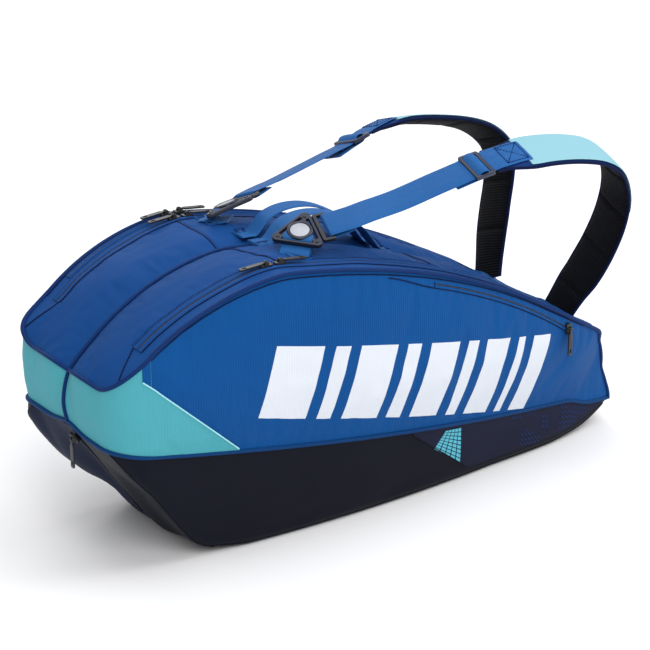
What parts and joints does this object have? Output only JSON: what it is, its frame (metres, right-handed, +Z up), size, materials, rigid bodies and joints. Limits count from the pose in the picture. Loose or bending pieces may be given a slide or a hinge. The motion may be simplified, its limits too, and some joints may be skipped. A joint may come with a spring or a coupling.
{
  "type": "racket tournament bag",
  "caption": "Long curved racket bag with zipped front and rear covers, padded shoulder straps, carry handles and a flat base.",
  "frame": {"origin": "middle of the flat base, on the plane it stands on", "axes": "+X along the bag from the wide racket-head end to the narrow handle end, -Y towards the front pocket side, +Z up"},
  "size_m": [0.754, 0.2669, 0.4212],
  "materials": {
    "gusset_fabric": "woven",
    "side_fabric": "ribbed",
    "band_fabric": "ribbed",
    "tarpaulin": "coated",
    "piping": "satin",
    "zip_tape": "matte",
    "webbing": "woven",
    "strap_pad": "mesh",
    "graphite_plastic": "satin",
    "badge_metal": "satin",
    "divider_foam": "matte",
    "stiffener_board": "matte"
  },
  "bodies": {
    "bag_body": {"base_panel": "tarpaulin", "base_stiffener": "stiffener_board", "divider_panel": "divider_foam", "front_lower_panel": "tarpaulin", "rear_lower_panel": "tarpaulin", "front_side_panel": "side_fabric", "rear_side_panel": "side_fabric", "head_band_front": "band_fabric", "head_band_rear": "band_fabric", "head_lower_panel": "tarpaulin", "tail_lower_panel": "tarpaulin", "tail_end_panel": "gusset_fabric", "top_gusset_front": "gusset_fabric", "top_gusset_rear": "gusset_fabric", "centre_welt": "piping", "edge_piping": "piping", "waist_piping": "piping", "inner_zip_tapes": "zip_tape", "head_zip_tape": "zip_tape", "sewn_tabs": "webbing"},
    "front_cover": {"front_cover_panel": "side_fabric", "front_cover_gusset": "gusset_fabric", "front_top_piping": "piping", "front_outer_zip_tape": "zip_tape", "front_pocket_zip_tape": "zip_tape"},
    "rear_cover": {"rear_cover_panel": "side_fabric", "rear_cover_gusset": "gusset_fabric", "rear_top_piping": "piping", "rear_outer_zip_tape": "zip_tape", "rear_pocket_zip_tape": "zip_tape"},
    "front_left_slider": {"front_left_slider": "graphite_plastic"},
    "front_left_pull": {"front_left_pull": "graphite_plastic"},
    "front_right_slider": {"front_right_slider": "graphite_plastic"},
    "front_right_pull": {"front_right_pull": "graphite_plastic"},
    "rear_left_slider": {"rear_left_slider": "graphite_plastic"},
    "rear_left_pull": {"rear_left_pull": "graphite_plastic"},
    "rear_right_slider": {"rear_right_slider": "graphite_plastic"},
    "rear_right_pull": {"rear_right_pull": "graphite_plastic"},
    "rear_pocket_left_slider": {"rear_pocket_left_slider": "graphite_plastic"},
    "rear_pocket_left_pull": {"rear_pocket_left_pull": "graphite_plastic"},
    "rear_pocket_right_slider": {"rear_pocket_right_slider": "graphite_plastic"},
    "rear_pocket_right_pull": {"rear_pocket_right_pull": "graphite_plastic"},
    "front_pocket_slider": {"front_pocket_slider": "graphite_plastic"},
    "front_pocket_pull": {"front_pocket_pull": "graphite_plastic"},
    "head_slider": {"head_slider": "graphite_plastic"},
    "head_pull": {"head_pull": "graphite_plastic"},
    "front_strap": {"front_strap_pad": "strap_pad", "front_strap_webbing": "webbing", "front_strap_ladder_lock": "graphite_plastic", "front_strap_tri_ring": "graphite_plastic", "front_strap_badge": "badge_metal", "front_strap_ring_loop": "graphite_plastic"},
    "front_handle": {"carry_handle_front": "webbing"},
    "rear_strap": {"rear_strap_pad": "strap_pad", "rear_strap_webbing": "webbing", "rear_strap_ladder_lock": "graphite_plastic", "rear_strap_tri_ring": "graphite_plastic", "rear_strap_badge": "badge_metal", "rear_strap_ring_loop": "graphite_plastic"},
    "rear_handle": {"carry_handle_rear": "webbing"}
  },
  "joints": [
    {"name": "front_cover_open", "type": "hinge", "parent": "bag_body", "child": "front_cover", "pos_m": [0.0074, -0.12512, 0.15212], "axis": [0.981, 0.0784, -0.1776], "range_deg": [0, 50]},
    {"name": "rear_cover_open", "type": "hinge", "parent": "bag_body", "child": "rear_cover", "pos_m": [0.0074, 0.12512, 0.15212], "axis": [-0.981, 0.0784, 0.1776], "range_deg": [0, 50]},
    {"name": "front_left_zip", "type": "hinge", "parent": "bag_body", "child": "front_left_slider", "pos_m": [-0.14958, -0.0701, 0.04541], "axis": [-0.0088, -0.9943, -0.1064], "range_deg": [0, 30.5]},
    {"name": "front_left_pull_swing", "type": "hinge", "parent": "front_left_slider", "child": "front_left_pull", "pos_m": [-0.17622, -0.10071, 0.34004], "axis": [0.0182, 0.9998, 0.0016], "range_deg": [0, 100]},
    {"name": "front_right_zip", "type": "hinge", "parent": "bag_body", "child": "front_right_slider", "pos_m": [-0.24136, 0.20081, -0.49392], "axis": [0.0377, 0.94, 0.339], "range_deg": [0, 26.8]},
    {"name": "front_right_pull_swing", "type": "hinge", "parent": "front_right_slider", "child": "front_right_pull", "pos_m": [-0.15768, -0.10092, 0.33978], "axis": [-0.0035, -1, 0.0003], "range_deg": [0, 100]},
    {"name": "rear_left_zip", "type": "hinge", "parent": "bag_body", "child": "rear_left_slider", "pos_m": [-0.14958, 0.0701, 0.04541], "axis": [0.0088, -0.9943, 0.1064], "range_deg": [0, 30.5]},
    {"name": "rear_left_pull_swing", "type": "hinge", "parent": "rear_left_slider", "child": "rear_left_pull", "pos_m": [-0.17622, 0.10071, 0.34004], "axis": [-0.0182, 0.9998, -0.0016], "range_deg": [0, 100]},
    {"name": "rear_right_zip", "type": "hinge", "parent": "bag_body", "child": "rear_right_slider", "pos_m": [-0.24136, -0.20081, -0.49392], "axis": [-0.0377, 0.94, -0.339], "range_deg": [0, 26.8]},
    {"name": "rear_right_pull_swing", "type": "hinge", "parent": "rear_right_slider", "child": "rear_right_pull", "pos_m": [-0.15768, 0.10092, 0.33978], "axis": [0.0035, -1, -0.0003], "range_deg": [0, 100]},
    {"name": "rear_pocket_left_zip", "type": "hinge", "parent": "rear_cover", "child": "rear_pocket_left_slider", "pos_m": [-0.14948, 0.08121, 0.04697], "axis": [0.0091, -0.9913, 0.1317], "range_deg": [0, 26.3]},
    {"name": "rear_pocket_left_pull_swing", "type": "hinge", "parent": "rear_pocket_left_slider", "child": "rear_pocket_left_pull", "pos_m": [-0.17622, 0.11906, 0.34004], "axis": [-0.0208, 0.9998, -0.0018], "range_deg": [0, 100]},
    {"name": "rear_pocket_right_zip", "type": "hinge", "parent": "rear_cover", "child": "rear_pocket_right_slider", "pos_m": [-0.23762, -0.22557, -0.45794], "axis": [-0.0442, 0.9174, -0.3954], "range_deg": [0, 27.3]},
    {"name": "rear_pocket_right_pull_swing", "type": "hinge", "parent": "rear_pocket_right_slider", "child": "rear_pocket_right_pull", "pos_m": [-0.15768, 0.11931, 0.33978], "axis": [0.0041, -1, -0.0004], "range_deg": [0, 100]},
    {"name": "front_pocket_zip", "type": "hinge", "parent": "front_cover", "child": "front_pocket_slider", "pos_m": [-0.25456, 0.17366, -0.50974], "axis": [-0.0196, -0.9388, -0.3439], "range_deg": [0, 15.8]},
    {"name": "front_pocket_pull_swing", "type": "hinge", "parent": "front_pocket_slider", "child": "front_pocket_pull", "pos_m": [0.26938, -0.0905, 0.16448], "axis": [-0.9765, -0.2154, 0], "range_deg": [0, 100]},
    {"name": "head_zip", "type": "slide", "parent": "bag_body", "child": "head_slider", "axis": [0.5891, 0, -0.8081], "range_m": [0, 0.11]},
    {"name": "head_pull_swing", "type": "hinge", "parent": "head_slider", "child": "head_pull", "pos_m": [-0.3722, 0, 0.13724], "axis": [0, 1, 0], "range_deg": [-30, 60]},
    {"name": "front_strap_swing", "type": "hinge", "parent": "bag_body", "child": "front_strap", "pos_m": [-0.112, -0.07, 0.346], "axis": [0.9211, 0.0737, -0.3823], "range_deg": [-15, 20]},
    {"name": "rear_strap_swing", "type": "hinge", "parent": "bag_body", "child": "rear_strap", "pos_m": [-0.112, 0.07, 0.346], "axis": [-0.9242, 0.0828, 0.3728], "range_deg": [-15, 20]},
    {"name": "front_handle_swing", "type": "hinge", "parent": "bag_body", "child": "front_handle", "pos_m": [-0.122, -0.017, 0.32821], "axis": [0.9758, 0, -0.2187], "range_deg": [-6, 35]},
    {"name": "rear_handle_swing", "type": "hinge", "parent": "bag_body", "child": "rear_handle", "pos_m": [-0.122, 0.017, 0.32821], "axis": [-0.9758, 0, 0.2187], "range_deg": [-6, 35]}
  ]
}
